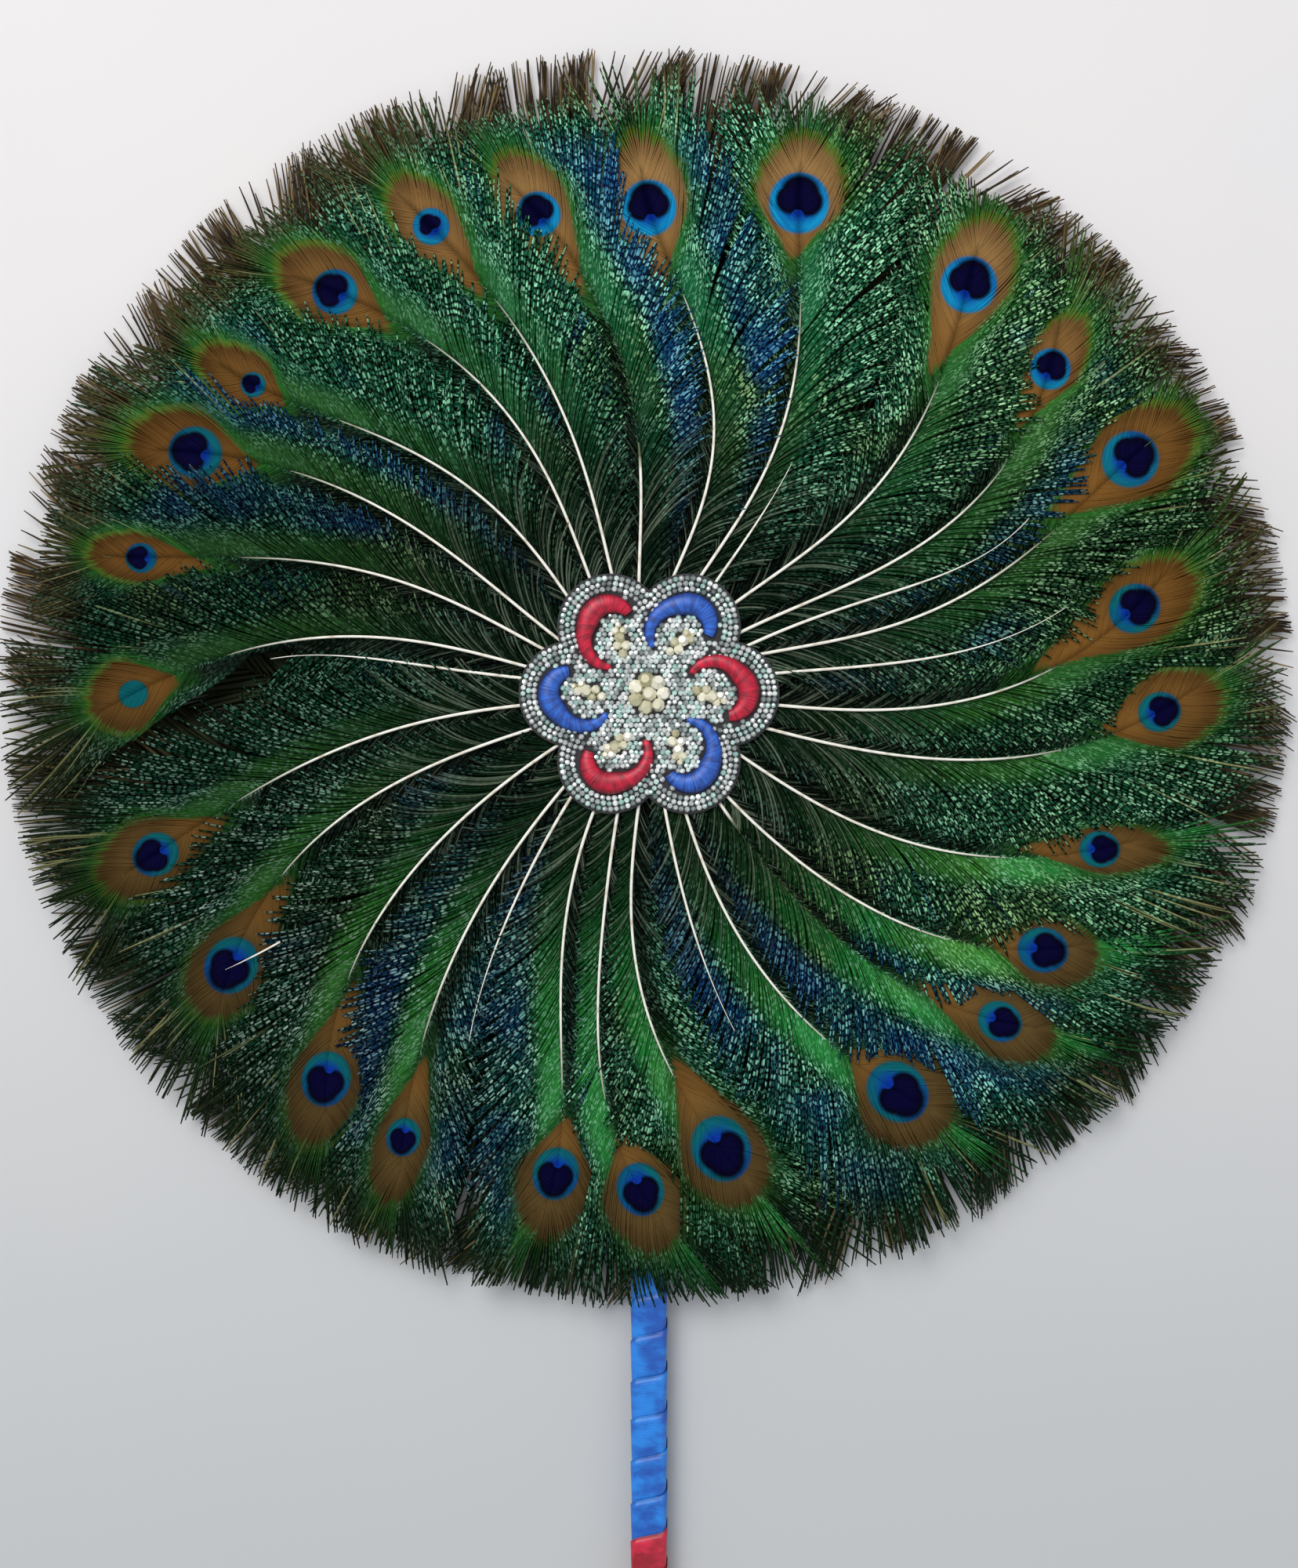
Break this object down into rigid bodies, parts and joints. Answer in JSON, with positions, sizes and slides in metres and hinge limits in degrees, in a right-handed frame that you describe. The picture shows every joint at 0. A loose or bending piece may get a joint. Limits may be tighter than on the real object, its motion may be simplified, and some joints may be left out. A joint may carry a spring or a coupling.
{
  "type": "feather hand fan",
  "caption": "Rigid round hand fan of swirling peacock feathers on a ribbon-wrapped stick, with a six-lobed beaded flower patch over the hub.",
  "frame": {"origin": "centre of the back patch's flat underside, on the axis of the round fan", "axes": "+Z out of the fan's front face, +Y away from the handle, +X to the right seen from the front"},
  "size_m": [0.3995, 0.5498, 0.0178],
  "materials": {
    "front_feather": "iridescent green feather barbs with bronze, cyan and indigo eyes and ivory shafts",
    "rear_feather": "dull brown-green feather seen from its back",
    "wood": "plain sanded wood",
    "blue_ribbon": "blue satin ribbon",
    "red_ribbon": "red satin ribbon",
    "patch_cloth": "black felt under the beadwork",
    "back_cloth": "dark blue felt",
    "crystal": "clear faceted stones in rows",
    "gold": "gold stones and beads",
    "red_thread": "red satin stitch over padding",
    "blue_thread": "blue satin stitch over padding"
  },
  "bodies": {
    "root": {"handle_stick": "wood", "hub_disc": "wood", "blue_ribbon": "blue_ribbon", "red_ribbon": "red_ribbon", "front_patch": "patch_cloth", "back_patch": "back_cloth", "crystal_border": "crystal", "gold_centre": "gold", "red_crescent_1": "red_thread", "blue_crescent_1": "blue_thread", "red_crescent_2": "red_thread", "blue_crescent_2": "blue_thread", "red_crescent_3": "red_thread", "blue_crescent_3": "blue_thread", "front_feather_01": "front_feather", "front_feather_02": "front_feather", "front_feather_03": "front_feather", "front_feather_04": "front_feather", "front_feather_05": "front_feather", "front_feather_06": "front_feather", "front_feather_07": "front_feather", "front_feather_08": "front_feather", "front_feather_09": "front_feather", "front_feather_10": "front_feather", "front_feather_11": "front_feather", "front_feather_12": "front_feather", "front_feather_13": "front_feather", "front_feather_14": "front_feather", "front_feather_15": "front_feather", "front_feather_16": "front_feather", "front_feather_17": "front_feather", "front_feather_18": "front_feather", "front_feather_19": "front_feather", "front_feather_20": "front_feather", "front_feather_21": "front_feather", "front_feather_22": "front_feather", "front_feather_23": "front_feather", "front_feather_24": "front_feather", "front_feather_25": "front_feather", "rear_feather_01": "rear_feather", "rear_feather_02": "rear_feather", "rear_feather_03": "rear_feather", "rear_feather_04": "rear_feather", "rear_feather_05": "rear_feather", "rear_feather_06": "rear_feather", "rear_feather_07": "rear_feather", "rear_feather_08": "rear_feather", "rear_feather_09": "rear_feather", "rear_feather_10": "rear_feather", "rear_feather_11": "rear_feather", "rear_feather_12": "rear_feather", "rear_feather_13": "rear_feather", "rear_feather_14": "rear_feather", "rear_feather_15": "rear_feather", "rear_feather_16": "rear_feather", "rear_feather_17": "rear_feather", "rear_feather_18": "rear_feather", "rear_feather_19": "rear_feather", "rear_feather_20": "rear_feather"}
  },
  "joints": []
}
